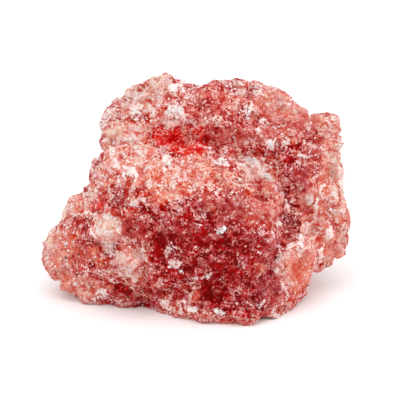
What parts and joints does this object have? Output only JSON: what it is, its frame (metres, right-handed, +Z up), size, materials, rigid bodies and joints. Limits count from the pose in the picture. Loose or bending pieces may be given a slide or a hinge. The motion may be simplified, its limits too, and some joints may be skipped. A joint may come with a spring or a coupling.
{
  "type": "strawberry quartz specimen",
  "caption": "Rough broken lump of granular pink to wine-red quartz with milky patches, stepped, pitted and ridged all over, which lies on flat patches of its underside.",
  "frame": {"origin": "on the surface that the stone stands on, under the middle of its box", "axes": "+X to the stone's right along its longest side, -Y out of its broad front face, +Z up"},
  "size_m": [0.0616, 0.041, 0.0435],
  "materials": {
    "strawberry_quartz": "granular, broken, slightly glassy"
  },
  "bodies": {
    "root": {"strawberry_quartz": "strawberry_quartz"}
  },
  "joints": []
}
